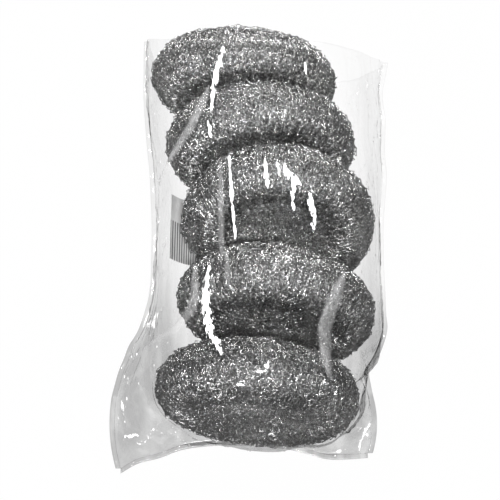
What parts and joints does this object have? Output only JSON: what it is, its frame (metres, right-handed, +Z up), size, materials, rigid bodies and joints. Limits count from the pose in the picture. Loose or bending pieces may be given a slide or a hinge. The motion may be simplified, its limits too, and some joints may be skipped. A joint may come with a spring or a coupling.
{
  "type": "bag of wire pot scourers",
  "caption": "Clear polybag lying flat, with a row of round knitted galvanised-wire pot scourers that slide out of its open mouth.",
  "frame": {"origin": "middle of the pack's outline, on the surface it lies on", "axes": "+Y along the row towards the open mouth, +Z up, +X to the right as seen from the welded end"},
  "size_m": [0.1343, 0.21, 0.0926],
  "materials": {
    "wire": "galvanised flat wire, knitted",
    "film": "clear wrinkled polythene",
    "seal": "melted double film",
    "label": "plain matt paper"
  },
  "bodies": {
    "bag": {"bag_front_film": "film", "bag_back_film": "film", "bag_left_weld": "seal", "bag_right_weld": "seal", "bag_bottom_weld": "seal", "back_label": "label"},
    "scourer_1": {"scourer_1_outer_turn": "wire", "scourer_1_inner_roll": "wire", "scourer_1_tucked_end": "wire"},
    "scourer_2": {"scourer_2_outer_turn": "wire", "scourer_2_inner_roll": "wire", "scourer_2_tucked_end": "wire"},
    "scourer_3": {"scourer_3_outer_turn": "wire", "scourer_3_inner_roll": "wire", "scourer_3_tucked_end": "wire"},
    "scourer_4": {"scourer_4_outer_turn": "wire", "scourer_4_inner_roll": "wire", "scourer_4_tucked_end": "wire"},
    "scourer_5": {"scourer_5_outer_turn": "wire", "scourer_5_inner_roll": "wire", "scourer_5_tucked_end": "wire"}
  },
  "joints": [
    {"name": "scourer_5_slide", "type": "slide", "parent": "bag", "child": "scourer_5", "axis": [0, 1, 0], "range_m": [0, 0.215]},
    {"name": "scourer_4_slide", "type": "slide", "parent": "scourer_5", "child": "scourer_4", "axis": [0, 1, 0], "range_m": [0, 0.172]},
    {"name": "scourer_3_slide", "type": "slide", "parent": "scourer_4", "child": "scourer_3", "axis": [0, 1, 0], "range_m": [0, 0.135]},
    {"name": "scourer_2_slide", "type": "slide", "parent": "scourer_3", "child": "scourer_2", "axis": [0, 1, 0], "range_m": [0, 0.09]},
    {"name": "scourer_1_slide", "type": "slide", "parent": "scourer_2", "child": "scourer_1", "axis": [0, 1, 0], "range_m": [0, 0.05]}
  ]
}
